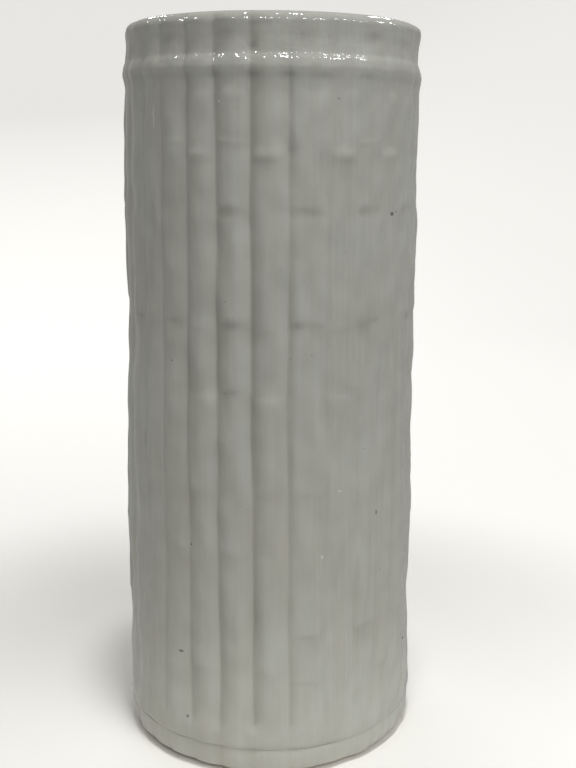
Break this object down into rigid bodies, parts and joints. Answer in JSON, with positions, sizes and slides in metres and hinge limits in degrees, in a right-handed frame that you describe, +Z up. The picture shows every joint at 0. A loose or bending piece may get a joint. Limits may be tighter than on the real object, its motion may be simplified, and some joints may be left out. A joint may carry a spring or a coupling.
{
  "type": "cylinder vase",
  "caption": "Tall glazed ceramic cylinder vase, open at the top, its wall moulded as upright bamboo canes, with a raised band below the round lip and a tucked-in foot.",
  "frame": {"origin": "on the vase's axis, at the undersides of the felt pads that it stands on", "axes": "+Z up along the vase's axis, out of its mouth; -Y is the front, and +X is to the right seen from the front"},
  "size_m": [0.2012, 0.2014, 0.481],
  "materials": {
    "white_glaze": "thick glossy off-white glaze, streaked down the canes and pooled in the valleys",
    "felt": "pressed wool felt"
  },
  "bodies": {
    "root": {"cane_wall": "white_glaze", "foot_ring": "white_glaze", "floor_slab": "white_glaze", "seam_coil": "white_glaze", "felt_pad_1": "felt", "felt_pad_2": "felt", "felt_pad_3": "felt", "felt_pad_4": "felt"}
  },
  "joints": []
}
